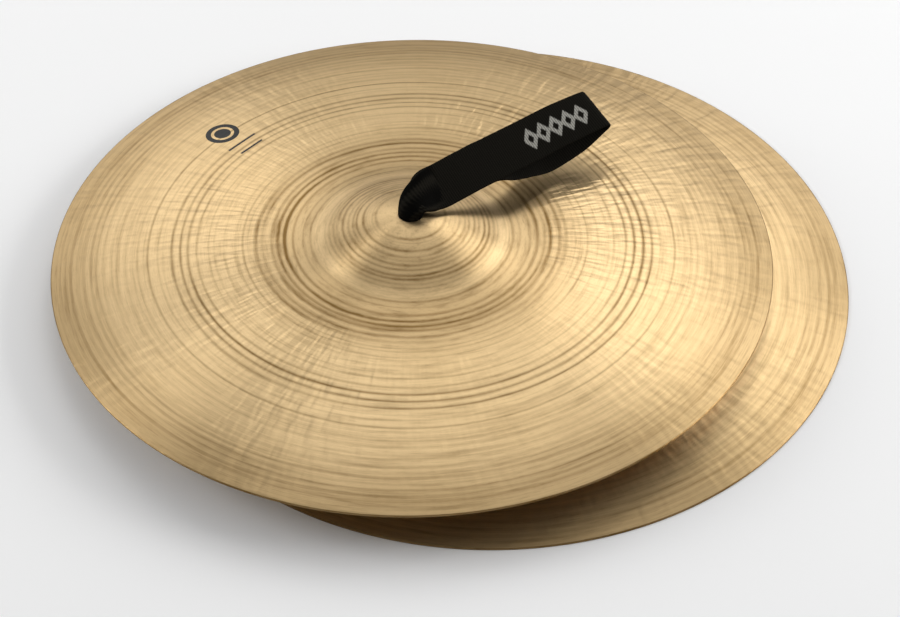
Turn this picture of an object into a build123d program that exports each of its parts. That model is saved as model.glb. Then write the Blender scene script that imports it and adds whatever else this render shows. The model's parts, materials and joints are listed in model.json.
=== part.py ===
"""Pair of 16 inch (406 mm) orchestral hand cymbals, stored nested, bells up.

The lower cymbal lies on its rim. The upper one lies over it, pushed to the left and tipped
up a little at the front. Each has a loop of 1 inch webbing to hold it by. The loop's two ends
go down through the hole in the bell and end in a sewn eye, and a steel bar through the eye
bears on a steel washer and a leather washer inside the bell.

Units are millimetres and +Z is up. The origin is the middle of the bottom of the whole
object's box. Each cymbal is drawn on its own axis, with its rim on z = 0, and each strap is
drawn running along +X from that axis.
"""
from build123d import *
from math import asin, atan2, cos, radians, sin
import os

# Cymbal
CYMBAL_RADIUS = 203.2
HOLE_RADIUS = 7.0
APEX_HEIGHT = 38.6            # top surface, on the axis
BELL_THICKNESS = 1.5
RIM_THICKNESS = 0.9
RIM_LAND = 0.8                # width of the flat underside of the rim
# The top surface is four arcs, each starting where the last ended:
# (radius at which it ends, radius of the arc, +1 crowned or -1 hollow)
CAP_ARC = (24.0, 75.0, 1)
SHOULDER_ARC = (48.0, 318.0, 1)
ROOT_ARC = (66.8, 52.1, -1)
BOW_ARC = (CYMBAL_RADIUS, 620.0, 1)

# How the pair lies
UPPER_OFFSET = (-43.7, -1.3)  # the upper cymbal's axis, from the lower one's
UPPER_LIFT = 18.3
FRONT_RAISED = 2.34           # degrees
RIGHT_RAISED = 0.53           # degrees
UPPER_STRAP_AZIMUTH = 40.0    # degrees from +X, seen from above
LOWER_STRAP_AZIMUTH = 197.0

# Washers and toggle bar, hanging in the bell
RUNNING_GAP = 0.3
LEATHER_RADIUS = 17.0
LEATHER_HOLE_RADIUS = 7.4
LEATHER_BOTTOM = 32.4
STEEL_RADIUS = 14.0
STEEL_THICKNESS = 1.2
BAR_RADIUS = 2.5
BAR_LENGTH = 37.0
CAP_RADIUS = 3.3
CAP_LENGTH = 4.4
CAP_END = 0.9                 # thickness of the cap past the bar's end
CAP_ROUNDING = 0.8
BAR_CHAMFER = 0.4

# Webbing
WEB_WIDTH = 25.4
WEB_THICKNESS = 1.3
NECK_WIDTH = 12.2             # four layers, folded in half to pass the hole
NECK_THICKNESS = 4.0
THREAD_RADIUS = 0.45
THREAD_SPACING = 2.6
THREAD_COUNT = 4
THREAD_PROUD = 0.35
UPPER_FOLD_HEIGHT = 45.5
LOWER_FOLD_HEIGHT = 40.6
LOOP_START = NECK_THICKNESS / 2 + 0.4
BEND_STEP = 30                # degrees between sections round a loop's far end
# Where each loop's two layers lie together: (along, height, roll, width, thickness)
UPPER_STEM = (
    (LOOP_START, UPPER_FOLD_HEIGHT, 0, NECK_WIDTH, NECK_THICKNESS),
    (8, 46.9, 36, 19, 3.8),
    (14, 47.2, 41, 23.5, 3.4),
    (22, 46.9, 42, WEB_WIDTH, 2 * WEB_THICKNESS),
    (36, 46.9, 41, WEB_WIDTH, 2 * WEB_THICKNESS),
    (58, 46.0, 41, WEB_WIDTH, 2 * WEB_THICKNESS),
)
LOWER_STEM = (
    (LOOP_START, LOWER_FOLD_HEIGHT, 0, NECK_WIDTH, NECK_THICKNESS),
    (8, 41.0, 0, 14, 3.8),
    (14, 40.4, 0, 18, 3.6),
    (20, 39.4, 0, 22.5, 3.0),
    (25, 38.8, 0, WEB_WIDTH, 2 * WEB_THICKNESS),
)
# Where they part: (along, height and roll of the upper layer's underside, then of the lower
# layer's upper side)
UPPER_RING = (
    (58, 46.0, 41, 46.0, 41),
    (70, 45.4, 41, 38.9, 33),
    (81, 44.9, 39, 34.4, 26),
    (93, 44.4, 37, 30.4, 21),
    (106, 44.2, 34, 30.4, 20),
    (120, 43.4, 30, 31.8, 19),
    (134.5, 42.4, 23.5, 36.4, 21),
)
LOWER_CLEARANCE = 0.6         # below the lower loop, over the cymbal it lies on
LOWER_RING_HEIGHTS = (
    (36, 38.6),
    (48, 38.5),
    (60, 38.2),
    (75, 37.7),
    (95, 36.8),
    (112, 35.7),
    (124, 34.5),
)


def surface_height(radius):
    """Height of the cymbal's top surface at a distance from its axis."""
    start, height, slope = 0.0, APEX_HEIGHT, 0.0
    for end, arc_radius, crown in (CAP_ARC, SHOULDER_ARC, ROOT_ARC, BOW_ARC):
        reached = min(radius, end)
        end_slope = asin(sin(slope) + crown * (reached - start) / arc_radius)
        height -= arc_radius * abs(cos(slope) - cos(end_slope))
        if radius <= end:
            return height
        start, slope = end, end_slope
    return height


def thickness_at(radius):
    """The metal is even over the bell and thins towards the rim."""
    bell_edge = SHOULDER_ARC[0]
    if radius <= bell_edge:
        return BELL_THICKNESS
    share = (radius - bell_edge) / (CYMBAL_RADIUS - bell_edge)
    return BELL_THICKNESS + (RIM_THICKNESS - BELL_THICKNESS) * share


def underside_point(radius):
    """The point of the underside squarely below a point of the top surface."""
    step = 0.01
    fall = atan2(surface_height(radius - step) - surface_height(radius + step), 2 * step)
    thickness = thickness_at(radius)
    return (radius - thickness * sin(fall), surface_height(radius) - thickness * cos(fall))


def top_point(radius):
    return (radius, surface_height(radius))


def arc_chain(point_at, radii):
    """Arcs through point_at each radius in turn, with one point halfway along each arc."""
    arcs = []
    for start, end in zip(radii, radii[1:]):
        middle = (start + end) / 2
        arcs.append(ThreePointArc(point_at(start), point_at(middle), point_at(end)))
    return arcs


def make_cymbal():
    breaks = [HOLE_RADIUS, CAP_ARC[0], SHOULDER_ARC[0], ROOT_ARC[0]]
    land_start = (CYMBAL_RADIUS - RIM_LAND, 0)
    bow_middle = (ROOT_ARC[0] + land_start[0]) / 2
    top = arc_chain(top_point, breaks + [CYMBAL_RADIUS])
    under = arc_chain(underside_point, breaks)
    under.append(ThreePointArc(underside_point(breaks[-1]), underside_point(bow_middle), land_start))
    rim = Polyline(land_start, (CYMBAL_RADIUS, 0), top_point(CYMBAL_RADIUS))
    # The hole is drilled afterwards, so the section runs a little way inside it
    hole = Line(underside_point(HOLE_RADIUS), top_point(HOLE_RADIUS))
    section = make_face(Plane.XZ * Curve(top + under + [rim, hole]))
    body = revolve(section, Axis.Z)
    drill = Cylinder(HOLE_RADIUS, 4 * APEX_HEIGHT)
    return body - drill


def moulded_point(radius):
    """The leather's top surface, a running gap below the inside of the bell."""
    beside, below = underside_point(radius)
    return (beside, below - RUNNING_GAP)


def make_leather_washer():
    """A disc cut flat below and moulded to the inside of the bell above."""
    radii = [LEATHER_HOLE_RADIUS, LEATHER_RADIUS]
    inner, outer = [moulded_point(radius) for radius in radii]
    sides = Polyline(inner, (inner[0], LEATHER_BOTTOM), (outer[0], LEATHER_BOTTOM), outer)
    section = make_face(Plane.XZ * Curve(arc_chain(moulded_point, radii) + [sides]))
    return revolve(section, Axis.Z)


def make_steel_washer():
    disc = Cylinder(STEEL_RADIUS, STEEL_THICKNESS)
    hole = Cylinder(HOLE_RADIUS, STEEL_THICKNESS)
    return Pos(0, 0, LEATHER_BOTTOM - STEEL_THICKNESS / 2) * (disc - hole)


def bar_height():
    return LEATHER_BOTTOM - STEEL_THICKNESS - BAR_RADIUS


def bar_on_y():
    """The toggle bar about its own middle."""
    bar = Rot(90, 0, 0) * Cylinder(BAR_RADIUS, BAR_LENGTH)
    return chamfer(bar.edges().filter_by(GeomType.CIRCLE), BAR_CHAMFER)


def make_toggle_bar():
    return Pos(0, 0, bar_height()) * bar_on_y()


def make_bar_caps():
    """A rubber cup on each end of the bar, which keeps the bar in the strap's eye."""
    middle = BAR_LENGTH / 2 + CAP_END - CAP_LENGTH / 2
    cup = Cylinder(CAP_RADIUS, CAP_LENGTH)
    cup = fillet(cup.edges().filter_by(GeomType.CIRCLE).sort_by(Axis.Z)[-1:], CAP_ROUNDING)
    caps = []
    for tilt, side in ((-90, 1), (90, -1)):
        outside = Pos(0, side * middle, 0) * Rot(tilt, 0, 0) * cup
        caps.append(Pos(0, 0, bar_height()) * (outside - bar_on_y()))
    return caps


def thread_height():
    return bar_height() + BAR_RADIUS + 1.9


def make_eye_stitches():
    """Threads that close the eye, right through all four layers."""
    length = NECK_THICKNESS + 2 * THREAD_PROUD
    stitches = []
    for index in range(THREAD_COUNT):
        across = (index - (THREAD_COUNT - 1) / 2) * THREAD_SPACING
        stitches.append(Pos(0, across, thread_height()) * Rot(0, 90, 0) * Cylinder(THREAD_RADIUS, length))
    return stitches


def make_strap_tail(fold_height, stitches):
    """The webbing that stands in the hole: folding knuckle on top, neck, eye round the bar."""
    neck_bottom = bar_height()
    neck_height = fold_height - neck_bottom
    neck = Pos(0, 0, neck_bottom + neck_height / 2) * Box(NECK_THICKNESS, NECK_WIDTH, neck_height)
    knuckle = Pos(0, 0, fold_height) * Rot(90, 0, 0) * Cylinder(NECK_THICKNESS / 2, NECK_WIDTH)
    eye = Pos(0, 0, neck_bottom) * Rot(90, 0, 0) * Cylinder(BAR_RADIUS + WEB_THICKNESS, NECK_WIDTH)
    bar_hole = Pos(0, 0, neck_bottom) * Rot(90, 0, 0) * Cylinder(BAR_RADIUS, 2 * NECK_WIDTH)
    tail = neck + knuckle + eye - bar_hole
    for stitch in stitches:
        tail -= stitch
    return tail


def band_section(along, height, roll, offset, heading, width, thickness):
    """A flat rectangle across the webbing.

    The section is rolled about the strap's run, moved by offset along its own rolled normal,
    and turned to face its heading, which is 0 outwards and -180 on the way back.
    """
    side = Vector(0, cos(radians(roll)), sin(radians(roll)))
    up = Vector(0, -sin(radians(roll)), cos(radians(roll)))
    forward = Vector(cos(radians(heading)), 0, 0) + up * sin(radians(heading))
    origin = Vector(along, 0, height) + up * offset
    return Plane(origin=origin, x_dir=side, z_dir=forward) * Rectangle(width, thickness)


def make_stem(stem):
    sections = []
    for along, height, roll, width, thickness in stem:
        sections.append(band_section(along, height, roll, 0, 0, width, thickness))
    return loft(sections, ruled=True)


def make_ring(ring):
    """One layer out, round the far end and back under itself."""
    half = WEB_THICKNESS / 2
    out = []
    back = []
    for along, out_height, out_roll, back_height, back_roll in ring:
        out.append(band_section(along, out_height, out_roll, half, 0, WEB_WIDTH, WEB_THICKNESS))
        back.append(band_section(along, back_height, back_roll, -half, -180, WEB_WIDTH, WEB_THICKNESS))
    along, out_height, out_roll, back_height, back_roll = ring[-1]
    middle = (out_height + back_height) / 2
    roll = (out_roll + back_roll) / 2
    radius = (out_height - back_height) / 2 + half
    bend = []
    for angle in range(BEND_STEP, 180, BEND_STEP):
        reach = along + radius * sin(radians(angle))
        offset = radius * cos(radians(angle))
        bend.append(band_section(reach, middle, roll, offset, -angle, WEB_WIDTH, WEB_THICKNESS))
    return loft(out + bend + back[::-1], ruled=True)


def make_strap_loop(stem, ring):
    return make_stem(stem) + make_ring(ring)


def lower_ring():
    """The lower loop's under layer follows the cymbal, its upper layer reaches up to the other."""
    start, height = LOWER_STEM[-1][:2]
    ring = [(start, height, 0, height, 0)]
    for along, height in LOWER_RING_HEIGHTS:
        resting = surface_height(along) + LOWER_CLEARANCE + WEB_THICKNESS
        ring.append((along, height, 0, resting, 0))
    return ring


def upper_pose():
    return Pos(*UPPER_OFFSET, UPPER_LIFT) * Rot(-FRONT_RAISED, -RIGHT_RAISED, 0)


def make_set(name, pose, azimuth, fold_height, stem, ring):
    """Every piece of one cymbal and its strap, placed."""
    strap_pose = pose * Rot(0, 0, azimuth)
    stitches = make_eye_stitches()
    return {
        f"{name}_cymbal": pose * make_cymbal(),
        f"{name}_leather_washer": strap_pose * make_leather_washer(),
        f"{name}_steel_washer": strap_pose * make_steel_washer(),
        f"{name}_toggle_bar": strap_pose * make_toggle_bar(),
        f"{name}_bar_caps": strap_pose * Compound(children=make_bar_caps()),
        f"{name}_eye_stitches": strap_pose * Compound(children=stitches),
        f"{name}_strap_tail": strap_pose * make_strap_tail(fold_height, stitches),
        f"{name}_strap_loop": strap_pose * make_strap_loop(stem, ring),
    }


def make_pair():
    """Both cymbals, with the origin at the middle of the bottom of their box."""
    nodes = make_set("lower", Pos(0, 0, 0), LOWER_STRAP_AZIMUTH, LOWER_FOLD_HEIGHT, LOWER_STEM, lower_ring())
    nodes |= make_set("upper", upper_pose(), UPPER_STRAP_AZIMUTH, UPPER_FOLD_HEIGHT, UPPER_STEM, UPPER_RING)
    boxes = [node.bounding_box() for node in nodes.values()]
    low_x = min(box.min.X for box in boxes)
    high_x = max(box.max.X for box in boxes)
    low_y = min(box.min.Y for box in boxes)
    high_y = max(box.max.Y for box in boxes)
    to_origin = Pos(-(low_x + high_x) / 2, -(low_y + high_y) / 2, -min(box.min.Z for box in boxes))
    return {name: to_origin * node for name, node in nodes.items()}, to_origin


if __name__ == "__main__":
    os.makedirs("parts", exist_ok=True)
    pair, moved = make_pair()
    for node_name, node in pair.items():
        export_step(node, f"parts/{node_name}.step")
    print("lower axis at", moved.position)
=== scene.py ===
"""The looks of a nested pair of hand cymbals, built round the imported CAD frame.

Lengths named _MM are millimetres, and everything that is placed is in metres. Each cymbal is a
lathed mesh on its own axis, and each strap is one long ribbon of webbing. "Along", "side" and
"up" are a strap's own directions: out from the bell's hole, across the webbing, and out of the
bell.
"""
import json
import math

import bpy
import numpy as np
from mathutils import Matrix, Vector


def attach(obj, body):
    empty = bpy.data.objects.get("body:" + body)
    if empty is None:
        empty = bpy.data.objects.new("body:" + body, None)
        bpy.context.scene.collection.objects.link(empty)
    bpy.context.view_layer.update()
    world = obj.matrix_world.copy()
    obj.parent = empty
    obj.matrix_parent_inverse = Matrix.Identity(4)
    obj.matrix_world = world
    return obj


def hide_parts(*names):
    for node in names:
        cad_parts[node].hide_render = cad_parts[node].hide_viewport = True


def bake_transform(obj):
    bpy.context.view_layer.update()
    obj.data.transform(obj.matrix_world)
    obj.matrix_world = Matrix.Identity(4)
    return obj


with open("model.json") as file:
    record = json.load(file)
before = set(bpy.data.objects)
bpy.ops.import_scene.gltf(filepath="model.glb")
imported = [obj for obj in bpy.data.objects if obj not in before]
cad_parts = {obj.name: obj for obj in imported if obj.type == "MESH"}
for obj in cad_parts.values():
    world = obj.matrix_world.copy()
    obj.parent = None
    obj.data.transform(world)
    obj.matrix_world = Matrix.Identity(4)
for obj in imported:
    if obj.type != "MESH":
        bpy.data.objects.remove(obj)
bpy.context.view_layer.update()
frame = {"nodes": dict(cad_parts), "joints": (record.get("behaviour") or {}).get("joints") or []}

MM = 0.001

# Cymbal section, as four arcs: (radius where it ends, arc radius, +1 crowned or -1 hollow)
CYMBAL_RADIUS_MM = 203.2
HOLE_RADIUS_MM = 7.0
APEX_HEIGHT_MM = 38.6
SECTION_ARCS = ((24.0, 75.0, 1), (48.0, 318.0, 1), (66.8, 52.1, -1), (CYMBAL_RADIUS_MM, 620.0, 1))
BELL_THICKNESS_MM = 1.5
RIM_THICKNESS_MM = 0.9
BELL_EDGE_MM = 48.0
HOLE_BEVEL_MM = 0.25
TOP_RING_STEP_MM = 0.5
UNDER_RING_STEP_MM = 3.0
GROOVE_DEPTH_MM = 0.060
DENT_DEPTH_MM = 0.045
SEGMENTS = 720

# Webbing, whose ribs cross it and whose threads run along it
WEB_WIDTH_MM = 25.4
WEB_THICKNESS_MM = 1.1
RIBBON_STEP_MM = 0.3
RIBBON_COLUMNS = 44
RIB_PITCH_MM = 1.45
THREAD_PITCH_MM = 1.5
WEAVE_HEIGHT_MM = 0.10
BUNDLE_COLUMNS = 96


# ---------------------------------------------------------------- places, from the frame

def joint(name):
    return next(j for j in frame["joints"] if j["name"] == name)


def axes_matrix(x, y, z, origin):
    matrix = Matrix((x, y, z)).transposed().to_4x4()
    matrix.translation = origin
    return matrix


def strap_matrix(side):
    """A strap's own frame: X along it, Z out of the bell, origin on the cymbal's rim plane."""
    swivel = joint(f"{side}_strap_swivel")
    z = Vector(swivel["axis"]).normalized()
    y = -Vector(joint(f"{side}_strap_fold")["axis"]).normalized()
    return axes_matrix(y.cross(z), y, z, Vector(swivel["pos_m"]))


def cymbal_matrix(side):
    """A cymbal's own frame: Z on its axis, X to the right."""
    swivel = joint(f"{side}_strap_swivel")
    z = Vector(swivel["axis"]).normalized()
    x = (Vector((1, 0, 0)) - z * z.x).normalized()
    return axes_matrix(x, z.cross(x), z, Vector(swivel["pos_m"]))


# ---------------------------------------------------------------- camera

def make_camera():
    """A long lens, looking down at the pair from the front."""
    pitch = math.radians(44.05)
    distance = 2.537
    lower_axis = Vector(joint("lower_strap_swivel")["pos_m"])
    target = lower_axis + Vector((-0.0222, -0.0174, 0))
    forward = Vector((0, math.cos(pitch), -math.sin(pitch)))
    data = bpy.data.cameras.new("camera")
    data.lens = 180
    data.sensor_width = 36
    data.clip_end = 50
    camera = bpy.data.objects.new("camera", data)
    camera.location = target - forward * distance
    camera.rotation_euler = (math.pi / 2 - pitch, 0, 0)
    bpy.context.scene.collection.objects.link(camera)
    bpy.context.scene.camera = camera


# ---------------------------------------------------------------- shader nodes

class Shader:
    """A material being built: short calls that add a node and return its output."""

    def __init__(self, name):
        self.material = bpy.data.materials.new(name)
        self.material.use_nodes = True
        self.tree = self.material.node_tree
        self.surface = self.tree.nodes["Principled BSDF"]

    def node(self, kind, inputs=None, **settings):
        made = self.tree.nodes.new(kind)
        for key, value in settings.items():
            setattr(made, key, value)
        for key, value in (inputs or {}).items():
            self.put(made.inputs[key], value)
        return made

    def put(self, socket, value):
        if isinstance(value, bpy.types.NodeSocket):
            self.tree.links.new(value, socket)
        else:
            socket.default_value = value

    def set(self, **values):
        """Principled inputs, by name with _ for a space."""
        for key, value in values.items():
            self.put(self.surface.inputs[key.replace("_", " ")], value)

    def math(self, operation, a, b=0.0, c=0.0, clamp=False):
        made = self.node("ShaderNodeMath", {0: a, 1: b, 2: c}, operation=operation, use_clamp=clamp)
        return made.outputs[0]

    def position(self):
        return self.node("ShaderNodeTexCoord").outputs["Object"]

    def split(self, vector):
        made = self.node("ShaderNodeSeparateXYZ", {0: vector})
        return made.outputs[0], made.outputs[1], made.outputs[2]

    def join(self, x, y, z=0.0):
        return self.node("ShaderNodeCombineXYZ", {0: x, 1: y, 2: z}).outputs[0]

    def noise(self, vector, scale, detail=2.0, roughness=0.5):
        made = self.node("ShaderNodeTexNoise", {"Vector": vector, "Scale": scale, "Detail": detail,
                                                "Roughness": roughness})
        return made.outputs[0]

    def ramp(self, value, low, high, to_low=0.0, to_high=1.0):
        made = self.node("ShaderNodeMapRange", {"Value": value, "From Min": low, "From Max": high,
                                                "To Min": to_low, "To Max": to_high})
        return made.outputs[0]

    def mix(self, factor, a, b):
        made = self.node("ShaderNodeMix", data_type="RGBA")
        self.put(made.inputs[0], factor)
        self.put(made.inputs[6], a)
        self.put(made.inputs[7], b)
        return made.outputs[2]

    def bump(self, height, strength, distance, normal=None):
        made = self.node("ShaderNodeBump", {"Height": height, "Strength": strength, "Distance": distance})
        if normal is not None:
            self.put(made.inputs["Normal"], normal)
        return made.outputs[0]


def rgb(r, g, b):
    return (r, g, b, 1.0)


def bronze_material(name, with_marks):
    """Lathed bronze: the grooves run round the axis, so highlights spread along the radii."""
    s = Shader(name)
    x, y, _ = s.split(s.position())
    radius = s.math("SQRT", s.math("ADD", s.math("MULTIPLY", x, x), s.math("MULTIPLY", y, y)))
    east = s.math("DIVIDE", x, radius)
    north = s.math("DIVIDE", y, radius)
    # lathe lines, fine and broad, which come and go round the plate
    turning = s.join(s.math("MULTIPLY", east, 0.012), s.math("MULTIPLY", north, 0.012), radius)
    fine = s.noise(turning, 1500.0, 3.0, 0.7)
    broad = s.noise(turning, 330.0, 2.0, 0.6)
    # ripples from the hammer, which run along the radii
    ripple_at = s.join(east, north, s.math("MULTIPLY", radius, 2.2))
    ripple = s.math("MULTIPLY", s.noise(ripple_at, 30.0, 1.0, 0.5), s.ramp(radius, 0.070, 0.105))
    # darker in the grooves, and painted shade at the foot of the bell, on the bell and towards the rim
    groove = s.node("ShaderNodeAttribute", attribute_name="groove").outputs["Fac"]
    patina = s.noise(s.position(), 9.0, 2.0, 0.5)
    body = s.mix(s.ramp(patina, 0.35, 0.65), rgb(0.80, 0.585, 0.315), rgb(0.755, 0.545, 0.285))
    # painted shade: a darker ring at the foot of the bell
    painted_foot_shade = s.math("MULTIPLY", s.ramp(radius, 0.052, 0.058), s.ramp(radius, 0.066, 0.105, 1.0, 0.0))
    # painted shade on the bell
    bell = s.ramp(radius, 0.046, 0.054, 1.0, 0.0)
    # painted shade towards the rim, deepest at its very edge
    rim = s.math("ADD", s.ramp(radius, 0.165, 0.203), s.ramp(radius, 0.2026, 0.2030))
    # the painted shade, with the grooves and the random tone of the lathe lines, mixes the bronze towards
    # dark brown
    shade = s.math("ADD", s.math("MULTIPLY", painted_foot_shade, 0.34), s.math("MULTIPLY", bell, 0.22))
    shade = s.math("ADD", shade, s.math("MULTIPLY", rim, 0.40))
    shade = s.math("ADD", shade, s.math("MULTIPLY", s.ramp(broad, 0.50, 0.75), 0.22))
    shade = s.math("ADD", shade, s.math("MULTIPLY", s.ramp(fine, 0.50, 0.80), 0.22))
    shade = s.math("ADD", shade, s.math("MULTIPLY", groove, 0.90), clamp=True)
    body = s.mix(shade, body, rgb(0.20, 0.115, 0.035))
    normal = s.bump(fine, 0.10, 0.0004)
    normal = s.bump(ripple, 0.45, 0.0008, normal)
    tangent = s.node("ShaderNodeTangent", direction_type="UV_MAP", uv_map="lathe").outputs[0]
    rough = s.ramp(broad, 0.3, 0.7, 0.32, 0.37)
    s.set(Metallic=1.0, Base_Color=body, Roughness=rough, Anisotropic=0.93, Anisotropic_Rotation=0.25,
          Normal=normal, Tangent=tangent)
    if with_marks:
        ink = ink_mask(s, x, y)
        s.set(Base_Color=s.mix(ink, body, rgb(0.012, 0.011, 0.010)))
        s.set(Metallic=s.math("SUBTRACT", 1.0, ink))
        s.set(Roughness=s.math("ADD", s.math("MULTIPLY", ink, 0.2), rough))
    return s.material


# Printed marks, in metres: a roundel with a ring left out of it, and rules (radius, half length)
MARK_AZIMUTH = math.radians(137.0)
ROUNDEL_AT = 0.1505
ROUNDEL_RADIUS = 0.0098
ROUNDEL_RING = 0.0058
ROUNDEL_RING_HALF_WIDTH = 0.0009
RULES = ((0.1345, 0.0105), (0.1265, 0.0085))
RULE_HALF_WIDTH = 0.0007


def ink_mask(s, x, y):
    """A plain printed roundel near the rim, and two short rules below it."""
    along_x, along_y = math.cos(MARK_AZIMUTH), math.sin(MARK_AZIMUTH)
    outward = s.math("ADD", s.math("MULTIPLY", x, along_x), s.math("MULTIPLY", y, along_y))
    across = s.math("SUBTRACT", s.math("MULTIPLY", y, along_x), s.math("MULTIPLY", x, along_y))
    beyond = s.math("SUBTRACT", outward, ROUNDEL_AT)
    squares = s.math("ADD", s.math("MULTIPLY", beyond, beyond), s.math("MULTIPLY", across, across))
    from_middle = s.math("SQRT", squares)
    disc = s.math("LESS_THAN", from_middle, ROUNDEL_RADIUS)
    from_ring = s.math("ABSOLUTE", s.math("SUBTRACT", from_middle, ROUNDEL_RING))
    gap = s.math("LESS_THAN", from_ring, ROUNDEL_RING_HALF_WIDTH)
    ink = s.math("SUBTRACT", disc, gap, clamp=True)
    for place, half_length in RULES:
        from_rule = s.math("ABSOLUTE", s.math("SUBTRACT", outward, place))
        near = s.math("LESS_THAN", from_rule, RULE_HALF_WIDTH)
        within = s.math("LESS_THAN", s.math("ABSOLUTE", across), half_length)
        ink = s.math("ADD", ink, s.math("MULTIPLY", near, within), clamp=True)
    return ink


def web_material(name, printed):
    """Matte webbing with painted light on its raised threads, and the woven mark on the printed one."""
    s = Shader(name)
    painted_thread_light = s.node("ShaderNodeAttribute", attribute_name="weave").outputs["Fac"]
    fuzz = s.noise(s.position(), 1500.0, 3.0, 0.6)
    # painted light on the raised threads and painted shade between them
    dark = s.mix(painted_thread_light, rgb(0.0008, 0.0008, 0.0006), rgb(0.0125, 0.0110, 0.0080))
    dark = s.mix(s.math("MULTIPLY", fuzz, 0.15), dark, rgb(0.012, 0.0105, 0.008))
    colour = dark
    if printed:
        pattern = s.node("ShaderNodeAttribute", attribute_name="print").outputs["Fac"]
        # the print, with the same painted light on its raised threads
        light = s.mix(painted_thread_light, rgb(0.13, 0.125, 0.11), rgb(0.42, 0.41, 0.37))
        colour = s.mix(pattern, dark, light)
    normal = s.bump(fuzz, 0.25, 0.0002)
    s.set(Base_Color=colour, Roughness=0.8, Specular_IOR_Level=0.03, Normal=normal)
    return s.material


def leather_material():
    s = Shader("leather")
    grain = s.noise(s.position(), 900.0, 4.0, 0.6)
    tone = s.noise(s.position(), 60.0, 2.0)
    colour = s.mix(s.ramp(tone, 0.3, 0.7), rgb(0.20, 0.085, 0.035), rgb(0.33, 0.15, 0.065))
    colour = s.mix(s.math("MULTIPLY", grain, 0.4), colour, rgb(0.10, 0.045, 0.02))
    s.set(Base_Color=colour, Roughness=0.6, Normal=s.bump(grain, 0.5, 0.0003))
    return s.material


def steel_material():
    s = Shader("steel")
    x, y, z = s.split(s.position())
    scratch = s.noise(s.join(s.math("MULTIPLY", x, 12.0), y, z), 500.0, 3.0, 0.7)
    tone = s.mix(s.ramp(scratch, 0.3, 0.7), rgb(0.50, 0.50, 0.51), rgb(0.66, 0.66, 0.67))
    s.set(Metallic=1.0, Base_Color=tone, Roughness=s.ramp(scratch, 0.2, 0.8, 0.24, 0.42),
          Normal=s.bump(scratch, 0.12, 0.0002))
    return s.material


def rubber_material():
    s = Shader("rubber")
    speck = s.noise(s.position(), 1300.0, 3.0, 0.6)
    s.set(Base_Color=s.mix(speck, rgb(0.012, 0.012, 0.012), rgb(0.03, 0.03, 0.029)), Roughness=0.75,
          Normal=s.bump(speck, 0.3, 0.0002))
    return s.material


def thread_material():
    s = Shader("thread")
    ply = s.node("ShaderNodeTexWave", {"Vector": s.position(), "Scale": 260.0, "Distortion": 0.5}).outputs[1]
    s.set(Base_Color=s.mix(ply, rgb(0.015, 0.015, 0.015), rgb(0.06, 0.06, 0.058)), Roughness=0.5,
          Normal=s.bump(ply, 0.5, 0.0003))
    return s.material


# ---------------------------------------------------------------- meshes

def mesh_object(name, points_mm, faces, material):
    """A smooth-shaded object from an array of points in millimetres."""
    mesh = bpy.data.meshes.new(name)
    mesh.from_pydata((points_mm.reshape(-1, 3) * MM).tolist(), [], faces)
    mesh.polygons.foreach_set("use_smooth", [True] * len(mesh.polygons))
    mesh.materials.append(material)
    made = bpy.data.objects.new(name, mesh)
    bpy.context.scene.collection.objects.link(made)
    return made


def add_values(mesh, name, values):
    """Stores one number per point, for the material to read."""
    attribute = mesh.attributes.new(name, "FLOAT", "POINT")
    attribute.data.foreach_set("value", values.astype(np.float32).reshape(-1))


def tube_faces(rows, width):
    """Faces of a closed tube of rows sections, each with width points, and its two end caps."""
    row = np.arange(rows - 1)[:, None] * width
    column = np.arange(width)[None, :]
    beside = (column + 1) % width
    skin = np.stack([row + column, row + beside, row + width + beside, row + width + column], -1)
    first = list(range(width))[::-1]
    last = [(rows - 1) * width + index for index in range(width)]
    return skin.reshape(-1, 4).tolist() + [first, last]


def surface_height(radius):
    """Height of a cymbal's top surface, in millimetres, at each of an array of radii."""
    radius = np.asarray(radius, float)
    height = np.full(radius.shape, APEX_HEIGHT_MM)
    start, slope, base = 0.0, 0.0, APEX_HEIGHT_MM
    for end, arc_radius, crown in SECTION_ARCS:
        reached = np.clip(radius, start, end)
        turned = np.arcsin(math.sin(slope) + crown * (reached - start) / arc_radius)
        here = base - arc_radius * np.abs(math.cos(slope) - np.cos(turned))
        height = np.where(radius >= start, here, height)
        end_slope = math.asin(math.sin(slope) + crown * (end - start) / arc_radius)
        base -= arc_radius * abs(math.cos(slope) - math.cos(end_slope))
        start, slope = end, end_slope
    return height


def thickness_at(radius):
    share = np.clip((radius - BELL_EDGE_MM) / (CYMBAL_RADIUS_MM - BELL_EDGE_MM), 0, 1)
    return BELL_THICKNESS_MM + (RIM_THICKNESS_MM - BELL_THICKNESS_MM) * share


# Grooves that stand out one by one: (radius, darkness, half width)
SINGLE_GROOVES = (
    (19.6, 0.55, 0.9),
    (48.4, 0.30, 0.5),
    (56.7, 0.50, 0.8),
    (60.8, 0.30, 0.6),
    (66.6, 0.50, 0.9),
    (104.9, 0.20, 0.5),
    (110.4, 0.15, 0.5),
    (113.9, 0.40, 0.5),
    (120.4, 0.70, 0.7),
    (125.2, 1.00, 0.8),
    (129.9, 1.00, 0.9),
    (134.8, 0.90, 0.8),
    (139.7, 0.25, 0.5),
    (142.7, 0.30, 0.5),
    (147.9, 0.80, 0.6),
)
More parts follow.
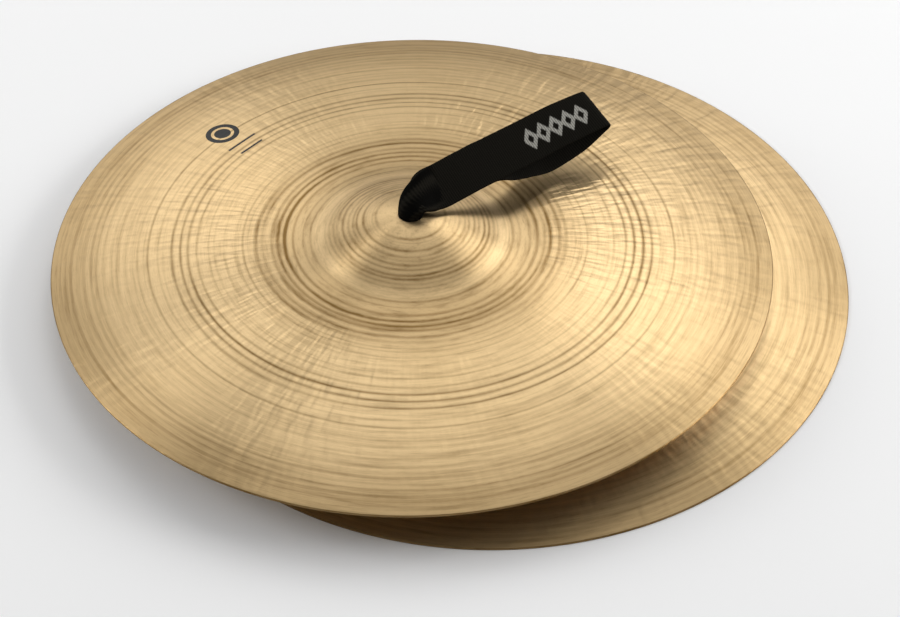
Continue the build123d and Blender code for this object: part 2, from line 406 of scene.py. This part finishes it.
# Grooves in even rows: (first radius, pitch, how many, darkness, half width)
GROOVE_ROWS = (
    (22.0, 1.4, 3, 0.22, 0.4),
    (27.3, 2.72, 8, 0.62, 0.75),
    (51.5, 1.7, 3, 0.22, 0.5),
    (70.8, 4.12, 5, 0.95, 1.15),
    (91.4, 3.6, 3, 0.35, 0.6),
    (75.0, 1.05, 40, 0.12, 0.30),
    (153.6, 3.82, 12, 0.30, 1.0),
    (150.5, 1.27, 40, 0.14, 0.35),
)


def wave_round(azimuth, rng, least, most):
    """A strength that drifts between least and most round the plate."""
    drift = sum(np.sin(turns * azimuth + rng.uniform(0, 6.28)) / turns ** 0.5 for turns in (1, 2, 3, 5, 8))
    return least + (most - least) * np.clip(0.5 + 0.24 * drift, 0, 1)


def lathe_grooves(radius, azimuth, rng):
    """How deep in a groove each point of the top lies, from 0 between grooves to about 1."""
    grooves = [(*groove, 0.45) for groove in SINGLE_GROOVES]
    for first, pitch, count, dark, half_width in GROOVE_ROWS:
        for index in range(count):
            place = first + pitch * index + rng.uniform(-0.16, 0.16) * pitch
            grooves.append((place, dark * rng.uniform(0.6, 1.3), half_width, 0.35))
    depth = np.zeros(np.broadcast(radius, azimuth).shape)
    for place, dark, half_width, least in grooves:
        if place > CYMBAL_RADIUS_MM - 1.5:
            continue
        rings = np.abs(radius[:, 0] - place) < 4 * half_width + 1
        here = azimuth[:1]
        wander = 0.22 * np.sin(here + rng.uniform(0, 6.28)) + 0.10 * np.sin(4 * here + rng.uniform(0, 6.28))
        strength = dark * wave_round(here, rng, least, 1.0)
        wide = half_width * wave_round(here, rng, 0.8, 1.25)
        depth[rings] += strength * np.exp(-((radius[rings] - place - wander) / wide) ** 2)
    return depth


def hammer_dimples(radius, azimuth, rng):
    """Small dents left by the hammer, longer along the radius than round the plate."""
    dents = np.zeros(np.broadcast(radius, azimuth).shape)
    for row in np.arange(72, 198, 6.0):
        count = int(2 * math.pi * row / 7.5)
        for index in range(count):
            centre = 2 * math.pi * (index + rng.uniform(-0.4, 0.4)) / count
            reach = row + rng.uniform(-3.5, 3.5)
            # the blows fall more thickly on the two flanks than at the front and back
            depth = rng.uniform(0.1, 1.0) * (0.35 + 0.65 * abs(math.cos(centre + 0.35)))
            turn = (azimuth[0] - centre + math.pi) % (2 * math.pi) - math.pi
            columns = np.abs(turn) * row < 6.5
            rings = np.abs(radius[:, 0] - reach) < 11.0
            across = turn[columns][None, :] * reach / 2.3
            out = (radius[rings, 0][:, None] - reach) / 4.2
            dents[np.ix_(rings, columns)] += depth * np.exp(-across ** 2 - out ** 2)
    return dents


def plate_section():
    """Radii and heights of a cymbal's closed section, and how many of the points are on top."""
    top_start = HOLE_RADIUS_MM + 0.6
    rings = np.arange(top_start, CYMBAL_RADIUS_MM - 0.3, TOP_RING_STEP_MM)
    top = np.concatenate([[HOLE_RADIUS_MM + HOLE_BEVEL_MM], rings])
    under = np.arange(CYMBAL_RADIUS_MM - 3.0, HOLE_RADIUS_MM + 1.0, -UNDER_RING_STEP_MM)
    slope = np.arctan(-np.gradient(surface_height(under), under))
    under_radius = under - thickness_at(under) * np.sin(slope)
    under_height = surface_height(under) - thickness_at(under) * np.cos(slope)
    edge_top = float(surface_height(CYMBAL_RADIUS_MM))
    edge = [
        (CYMBAL_RADIUS_MM - 0.12, edge_top + 0.03),
        (CYMBAL_RADIUS_MM - 0.02, edge_top - 0.12),
        (CYMBAL_RADIUS_MM, edge_top * 0.5),
        (CYMBAL_RADIUS_MM - 0.03, 0.10),
        (CYMBAL_RADIUS_MM - 0.15, 0.0),
        (CYMBAL_RADIUS_MM - 0.8, 0.0),
    ]
    hole_top = float(surface_height(HOLE_RADIUS_MM))
    hole_under = hole_top - BELL_THICKNESS_MM
    hole = [
        (HOLE_RADIUS_MM + HOLE_BEVEL_MM, hole_under),
        (HOLE_RADIUS_MM, hole_under + HOLE_BEVEL_MM),
        (HOLE_RADIUS_MM, hole_top - HOLE_BEVEL_MM),
    ]
    radius = np.concatenate([top, [p[0] for p in edge], under_radius, [p[0] for p in hole]])
    height = np.concatenate([surface_height(top), [p[1] for p in edge], under_height, [p[1] for p in hole]])
    return radius, height, len(top)


def ring_faces(rings):
    """Faces of a skin turned all the way round, from its first ring on to the first again."""
    ring = np.arange(rings)[:, None] * SEGMENTS
    after = np.roll(ring, -1)
    column = np.arange(SEGMENTS)[None, :]
    beside = (column + 1) % SEGMENTS
    skin = np.stack([ring + column, after + column, after + beside, ring + beside], -1)
    return skin.reshape(-1, 4).tolist()


def add_lathe_map(mesh, radius):
    """A UV map whose U runs round the plate, so that the metal's grain follows the lathe."""
    column = np.arange(SEGMENTS)
    around = np.stack([column, column, column + 1, column + 1], -1)[None] / SEGMENTS
    after = np.roll(radius, -1)
    outward = np.stack([radius, after, after, radius], -1)[:, None] / CYMBAL_RADIUS_MM
    uvs = np.stack(np.broadcast_arrays(around, outward), -1)
    mesh.uv_layers.new(name="lathe").data.foreach_set("uv", uvs.astype(np.float32).reshape(-1))


def cymbal_piece(side, seed, material):
    """One cymbal, turned about its own axis: hole, top, rim and underside in one closed skin."""
    radius, height, tops = plate_section()
    rings = len(radius)
    azimuth = np.arange(SEGMENTS) * 2 * math.pi / SEGMENTS
    grid_r = np.repeat(radius[:, None], SEGMENTS, 1)
    grid_a = np.repeat(azimuth[None, :], rings, 0)
    grid_z = np.repeat(height[:, None], SEGMENTS, 1)
    rng = np.random.default_rng(seed)
    grooves = lathe_grooves(grid_r[:tops], grid_a[:tops], rng)
    dents = hammer_dimples(grid_r[:tops], grid_a[:tops], rng)
    edge_fade = np.clip((CYMBAL_RADIUS_MM - 1.0 - grid_r[:tops]) / 2.0, 0, 1)
    grid_z[:tops] -= (GROOVE_DEPTH_MM * grooves + DENT_DEPTH_MM * dents) * edge_fade
    points = np.stack([grid_r * np.cos(grid_a), grid_r * np.sin(grid_a), grid_z], -1)
    plate = mesh_object(f"{side}_plate", points, ring_faces(rings), material)
    add_lathe_map(plate.data, radius)
    darkness = np.zeros((rings, SEGMENTS))
    darkness[:tops] = grooves
    add_values(plate.data, "groove", darkness)
    plate.matrix_world = cymbal_matrix(side)
    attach(plate, f"{side}_cymbal")
    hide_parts(f"{side}_cymbal")


# ---------------------------------------------------------------- webbing

# The ribbon's course in its strap's own frame: (along, up, roll, fold). The layer that leaves
# the hole is given first, then the layer that comes back. Roll lifts the webbing's left edge,
# and fold runs from 0, flat, to 1, folded in half to pass the hole.
UPPER_COURSE_OUT = (
    (0.0, 30.5, 0, 1),
    (0.0, 36.0, 0, 1),
    (0.0, 41.0, 2, 1),
    (0.6, 44.6, 8, 0.95),
    (3.6, 47.0, 24, 0.75),
    (8, 47.4, 36, 0.45),
    (14, 47.2, 41, 0.15),
    (22, 46.9, 42, 0),
    (36, 46.9, 41, 0),
    (58, 46.0, 41, 0),
    (70, 45.4, 41, 0),
    (81, 44.9, 39, 0),
    (93, 44.4, 37, 0),
    (106, 44.2, 34, 0),
    (120, 43.4, 30, 0),
    (134.5, 42.4, 23.5, 0),
)
UPPER_COURSE_BACK = (
    (134.5, 36.4, 21, 0),
    (120, 31.8, 19, 0),
    (106, 30.4, 20, 0),
    (93, 30.4, 21, 0),
    (81, 34.4, 26, 0),
    (70, 38.9, 33, 0),
    (58, 45.6, 41, 0),
    (36, 46.7, 41, 0),
    (22, 46.8, 42, 0),
    (14, 47.1, 41, 0.15),
    (8, 47.3, 36, 0.45),
    (3.7, 46.9, 24, 0.75),
    (0.7, 44.5, 8, 0.95),
    (0.1, 41.0, 2, 1),
    (0.1, 36.0, 0, 1),
    (0.1, 30.5, 0, 1),
)


def lower_course():
    """The hidden strap: its under layer follows the cymbal, its upper layer arches over it."""
    neck = [(0.0, 30.5, 0, 1), (0.0, 35.0, 0, 1), (0.2, 38.6, 0, 1), (2.2, 40.6, 0, 1)]
    stem = [(8, 41.0, 0, 0.55), (14, 40.4, 0, 0.2), (20, 39.4, 0, 0), (25, 38.8, 0, 0)]
    arch = [(36, 38.6), (48, 38.5), (60, 38.2), (75, 37.7), (95, 36.8), (112, 35.7), (124, 34.5)]
    out = neck + stem + [(along, height, 0, 0) for along, height in arch]
    rest = 0.7 + WEB_THICKNESS_MM
    back = [(along, float(surface_height(along)) + rest, 0, 0) for along, height in arch[::-1]]
    return out, back + stem[::-1] + neck[::-1]


def smooth_curve(points, step):
    """A Catmull-Rom curve through rows of numbers, resampled evenly by the first two columns."""
    points = np.array(points, float)
    ends = np.vstack([2 * points[0] - points[1], points, 2 * points[-1] - points[-2]])
    dense = []
    for index in range(1, len(ends) - 2):
        p0, p1, p2, p3 = ends[index - 1:index + 3]
        chord = [max(np.linalg.norm(b[:2] - a[:2]), 1e-3) ** 0.5 for a, b in ((p0, p1), (p1, p2), (p2, p3))]
        m1 = (p2 - p1) / chord[1] - (p2 - p0) / (chord[0] + chord[1]) + (p1 - p0) / chord[0]
        m2 = (p3 - p2) / chord[2] - (p3 - p1) / (chord[1] + chord[2]) + (p2 - p1) / chord[1]
        m1, m2 = m1 * chord[1], m2 * chord[1]
        for t in np.arange(0, 1, 0.02):
            dense.append((2 * t ** 3 - 3 * t ** 2 + 1) * p1 + (t ** 3 - 2 * t ** 2 + t) * m1
                         + (3 * t ** 2 - 2 * t ** 3) * p2 + (t ** 3 - t ** 2) * m2)
    dense.append(points[-1])
    dense = np.array(dense)
    run = np.concatenate([[0], np.cumsum(np.linalg.norm(np.diff(dense[:, :2], axis=0), axis=1))])
    even = np.linspace(0, run[-1], int(run[-1] / step) + 1)
    return np.stack([np.interp(even, run, dense[:, k]) for k in range(dense.shape[1])], -1), even


def ribbon_course(out, back):
    """One list of stations for the whole ribbon, with a round bend at the far end.

    Each station gains two numbers: the layer, from -1 on the way out to +1 on the way back, and
    how far it is moved to the left, so that the bend's own plane leans with the roll.
    """
    along, top, roll_out, _ = out[-1]
    _, bottom, roll_back, _ = back[0]
    radius = (top - bottom) / 2
    stations = [(*station, -1.0, -radius * lean_share(station)) for station in out]
    for angle in (30, 60, 90, 120, 150):
        turned = math.radians(angle)
        share = angle / 180
        roll = roll_out + (roll_back - roll_out) * share
        lean = math.radians(roll)
        reach = along + radius * math.sin(turned)
        up = (top + bottom) / 2 + radius * math.cos(turned) * math.cos(lean)
        shift = -radius * math.cos(turned) * math.sin(lean)
        stations.append((reach, up, roll, 0, 2 * share - 1, shift))
    return stations + [(*station, 1.0, radius * lean_share(station)) for station in back]


def lean_share(station):
    """How much of the bend's sideways lean a station already has, growing over the last 40 mm."""
    share = min(max((station[0] - 94.5) / 40, 0), 1) ** 2
    return share * math.sin(math.radians(station[2]))


def ribbon_frames(course, step):
    """Centre, side and normal vectors along the ribbon, in the strap's own frame."""
    rows, run = smooth_curve(course, step)
    centre = np.stack([rows[:, 0], rows[:, 5], rows[:, 1]], -1)
    heading = np.gradient(centre, axis=0)
    heading /= np.linalg.norm(heading, axis=1)[:, None]
    roll = np.radians(rows[:, 2])
    # rolling lifts the left edge by turning about the strap's own length
    side = np.stack([np.zeros(len(rows)), np.cos(roll), np.sin(roll)], -1)
    side -= heading * np.sum(side * heading, axis=1)[:, None]
    side /= np.linalg.norm(side, axis=1)[:, None]
    normal = np.cross(heading, side)
    return centre, side, normal, np.clip(rows[:, 3], 0, 1), rows[:, 4], run


def folded(t, fold, sign, radius):
    """Place and normal across the webbing, whose left half turns over as fold goes to 1."""
    turned = np.clip(t / radius, 0, math.pi * fold)
    beyond = np.clip(t - math.pi * fold * radius, 0, None)
    sideways = np.minimum(t, 0) + radius * np.sin(turned) + beyond * np.cos(math.pi * fold)
    lifted = sign * (radius * (1 - np.cos(turned)) + beyond * np.sin(math.pi * fold))
    return sideways, lifted, -sign * np.sin(turned), np.cos(turned)


def weave(run, across):
    """Height of the woven surface, -1 to 1, from the place along and across in millimetres."""
    rib = np.cos(2 * math.pi * (run + 0.10 * across) / RIB_PITCH_MM)
    rib_number = np.floor((run + 0.10 * across) / RIB_PITCH_MM)
    thread = np.cos(2 * math.pi * across / THREAD_PITCH_MM + math.pi * rib_number)
    return 0.75 * rib + 0.25 * thread


def ribbon_piece(side, out, back, material, step):
    """A strap: one closed strip of webbing, from the eye, round the loop and back to the eye."""
    centre, sideways, normal, fold, layer, run = ribbon_frames(ribbon_course(out, back), step)
    rows = len(run)
    half = WEB_THICKNESS_MM / 2
    fold_radius = WEB_THICKNESS_MM
    across = np.linspace(-WEB_WIDTH_MM / 2, WEB_WIDTH_MM / 2, RIBBON_COLUMNS)[None, :]
    fold, layer, run = fold[:, None], layer[:, None], run[:, None]
    # the two layers turn their folded halves away from each other
    turn = np.where(layer >= 0, 1.0, -1.0)
    level, lift, normal_level, normal_lift = folded(across, fold, turn, fold_radius)
    level = level + fold * (WEB_WIDTH_MM / 4 - fold_radius / 2)
    lift = lift - turn * fold_radius * fold
    from_edge = np.clip((np.abs(across) - WEB_WIDTH_MM / 2 + 0.9) / 0.9, 0, 1)
    rounding = 1 - from_edge ** 2 * 0.55
    bumps = weave(run, across + WEB_WIDTH_MM) * WEAVE_HEIGHT_MM
    faces = []
    for face in (1, -1):
        offset = half + face * (half * rounding + bumps)
        x = level + normal_level * offset
        y = lift + normal_lift * offset
        faces.append(centre[:, None] + sideways[:, None] * x[..., None] + normal[:, None] * y[..., None])
    outer, inner = faces
    points = np.concatenate([outer, inner[:, ::-1]], axis=1)
    web = mesh_object(f"{side}_web", points, tube_faces(rows, 2 * RIBBON_COLUMNS), material)
    # the lift of the weave, which the webbing's material turns into painted light
    painted_thread_light = np.concatenate([bumps, bumps[:, ::-1]], axis=1) / (2 * WEAVE_HEIGHT_MM) + 0.5
    add_values(web.data, "weave", painted_thread_light)
    marks = woven_mark(run, across) * (layer < -0.5)
    add_values(web.data, "print", np.concatenate([marks, 0 * marks], axis=1))
    web.data.transform(strap_matrix(side))
    return web


def woven_mark(run, across):
    """A plain chain of lozenges woven into the outer face."""
    start, end, pitch = 98.0, 144.0, 9.2
    within = (run > start) & (run < end)
    place = (run - start) % pitch - pitch / 2
    out = np.abs(place) / (pitch * 0.56) + np.abs(across) / 6.8
    return (within & (out < 1.0) & (out > 0.42)).astype(float)


# The gathered webbing that fills the hole and opens out into the strap:
# (along, up, heading, roll, half width, half thickness), heading 90 straight up
UPPER_BUNDLE = (
    (0.0, 30.5, 90, 0, 6.5, 6.1),
    (0.0, 36.0, 90, 0, 6.6, 6.3),
    (0.0, 39.0, 90, 0, 6.8, 6.5),
    (0.5, 41.5, 80, 4, 7.4, 6.6),
    (2.2, 43.6, 56, 14, 8.8, 6.2),
    (5.0, 45.0, 32, 27, 10.0, 5.0),
    (9.0, 46.2, 12, 36, 11.0, 3.4),
    (13.0, 47.1, 0, 41, 12.0, 2.0),
    (20.0, 46.95, 0, 42, 12.6, 1.3),
)
LOWER_BUNDLE = (
    (0.0, 30.5, 90, 0, 6.3, 3.2),
    (0.0, 36.0, 90, 0, 6.3, 3.2),
    (0.6, 38.8, 60, 0, 6.3, 3.0),
    (4.0, 40.4, 15, 0, 6.6, 2.2),
    (10.0, 40.7, 0, 0, 7.6, 1.7),
    (17.0, 39.9, 0, 0, 10.2, 1.5),
    (24.0, 38.9, 0, 0, 12.4, 1.3),
)


def bundle_piece(side, course, material):
    """The gathered webbing as one closed, rounded bundle with its ribs running round it."""
    rows, run = smooth_curve(course, 0.35)
    heading, roll = np.radians(rows[:, 2]), np.radians(rows[:, 3])
    flat = np.zeros(len(rows))
    lift = np.stack([-np.sin(heading), flat, np.cos(heading)], -1)
    level = np.array([0.0, 1.0, 0.0])
    sideways = level * np.cos(roll)[:, None] + lift * np.sin(roll)[:, None]
    upward = lift * np.cos(roll)[:, None] - level * np.sin(roll)[:, None]
    turn = np.arange(BUNDLE_COLUMNS) * 2 * math.pi / BUNDLE_COLUMNS
    # a section between an ellipse and a box
    wide = np.sign(np.cos(turn)) * np.abs(np.cos(turn)) ** 0.75
    tall = np.sign(np.sin(turn)) * np.abs(np.sin(turn)) ** 0.75
    bumps = weave(run[:, None], turn[None, :] * 8.0) * 0.06 + 0.10 * np.cos(5 * turn)[None, :] - 0.12
    x = rows[:, 4][:, None] * wide + bumps * wide
    y = rows[:, 5][:, None] * tall + bumps * tall
    centre = np.stack([rows[:, 0], flat, rows[:, 1]], -1)
    points = centre[:, None] + sideways[:, None] * x[..., None] + upward[:, None] * y[..., None]
    bundle = mesh_object(f"{side}_bundle", points, tube_faces(len(rows), BUNDLE_COLUMNS), material)
    # the lift of the ribs, which the webbing's material turns into painted light
    add_values(bundle.data, "weave", np.clip(bumps / 0.12 + 1.0, 0, 1))
    bundle.data.transform(strap_matrix(side))
    return bundle


# Where each piece of a strap would start and end its bend: (along, above the fold), in millimetres.
# The bundle fills the hole, so its bend would be shorter and start lower than the ribbon's.
WEB_BEND = ((-1.0, -2.5), (6.5, 1.5))
BUNDLE_BEND = ((0.0, -4.8), (3.5, 1.5))


def strap(side, out, back, bundle_course, material, step):
    """A strap's two pieces, the ribbon and the bundle, baked in place of the CAD loop and tail."""
    web = ribbon_piece(side, out, back, material, step)
    bundle = bundle_piece(side, bundle_course, material)
    place = strap_matrix(side)
    for piece, bend in ((web, WEB_BEND), (bundle, BUNDLE_BEND)):
        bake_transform(piece)
    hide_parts(f"{side}_strap_loop", f"{side}_strap_tail")


# ---------------------------------------------------------------- carried-over hardware

def dress(node, material):
    """Gives a CAD node that keeps its shape its finished material."""
    mesh = frame["nodes"][node].data
    mesh.materials.clear()
    mesh.materials.append(material)


# ---------------------------------------------------------------- studio

def make_floor():
    bpy.ops.mesh.primitive_plane_add(size=16, location=(0, 0, 0))
    floor = bpy.context.object
    floor.name = "floor"
    s = Shader("floor")
    s.set(Base_Color=rgb(0.92, 0.92, 0.92), Roughness=0.9, Specular_IOR_Level=0.1)
    floor.data.materials.append(s.material)


# Soft boxes: (name, azimuth, elevation, watts), in degrees from straight right of the pair
LIGHTS = (
    ("back_box", 90, 53, 5.6),
    ("right_box", 0, 25, 21),
    ("right_back_box", 25, 25, 11),
    ("left_box", 180, 25, 16),
    ("left_back_box", 165, 20, 6),
    ("low_back_box", 66, 35, 5),
    ("far_left_box", 116, 26, 2.6),
    ("top_box", 90, 75, 1.2),
)
LIGHT_DISTANCE = 2.2
LIGHT_SIZE = 1.1


def make_light(name, azimuth, elevation, power):
    """A square soft box that faces the middle of the object."""
    a, e = math.radians(azimuth), math.radians(elevation)
    data = bpy.data.lights.new(name, "AREA")
    data.shape = "RECTANGLE"
    data.size, data.size_y = LIGHT_SIZE, LIGHT_SIZE
    data.energy = power
    light = bpy.data.objects.new(name, data)
    direction = Vector((math.cos(a) * math.cos(e), math.sin(a) * math.cos(e), math.sin(e)))
    light.location = direction * LIGHT_DISTANCE
    light.rotation_euler = direction.to_track_quat("Z", "Y").to_euler()
    bpy.context.scene.collection.objects.link(light)


def make_world():
    """A plain white studio, dimmer behind the camera so that the front of the metal has tone."""
    bpy.context.scene.view_settings.view_transform = "Standard"
    world = bpy.data.worlds.new("studio")
    bpy.context.scene.world = world
    world.use_nodes = True
    background = world.node_tree.nodes["Background"]
    background.inputs["Color"].default_value = (1, 1, 1, 1)
    nodes, links = world.node_tree.nodes, world.node_tree.links
    place = nodes.new("ShaderNodeTexCoord")
    parts = nodes.new("ShaderNodeSeparateXYZ")
    level = nodes.new("ShaderNodeMapRange")
    for key, value in (("From Min", -0.80), ("From Max", -0.15), ("To Min", 0.12), ("To Max", 0.40)):
        level.inputs[key].default_value = value
    links.new(place.outputs["Generated"], parts.inputs[0])
    links.new(parts.outputs[1], level.inputs["Value"])
    links.new(level.outputs[0], background.inputs["Strength"])


make_camera()
make_world()
make_floor()
for light_settings in LIGHTS:
    make_light(*light_settings)

cymbal_piece("upper", 7, bronze_material("bronze_upper", True))
cymbal_piece("lower", 11, bronze_material("bronze_lower", False))
printed_web, plain_web = web_material("web_printed", True), web_material("web_plain", False)
strap("upper", UPPER_COURSE_OUT, UPPER_COURSE_BACK, UPPER_BUNDLE, printed_web, RIBBON_STEP_MM)
strap("lower", *lower_course(), LOWER_BUNDLE, plain_web, 2 * RIBBON_STEP_MM)

leather, steel, rubber, thread = leather_material(), steel_material(), rubber_material(), thread_material()
for side in ("upper", "lower"):
    dress(f"{side}_leather_washer", leather)
    dress(f"{side}_steel_washer", steel)
    dress(f"{side}_toggle_bar", steel)
    dress(f"{side}_bar_caps", rubber)
    dress(f"{side}_eye_stitches", thread)
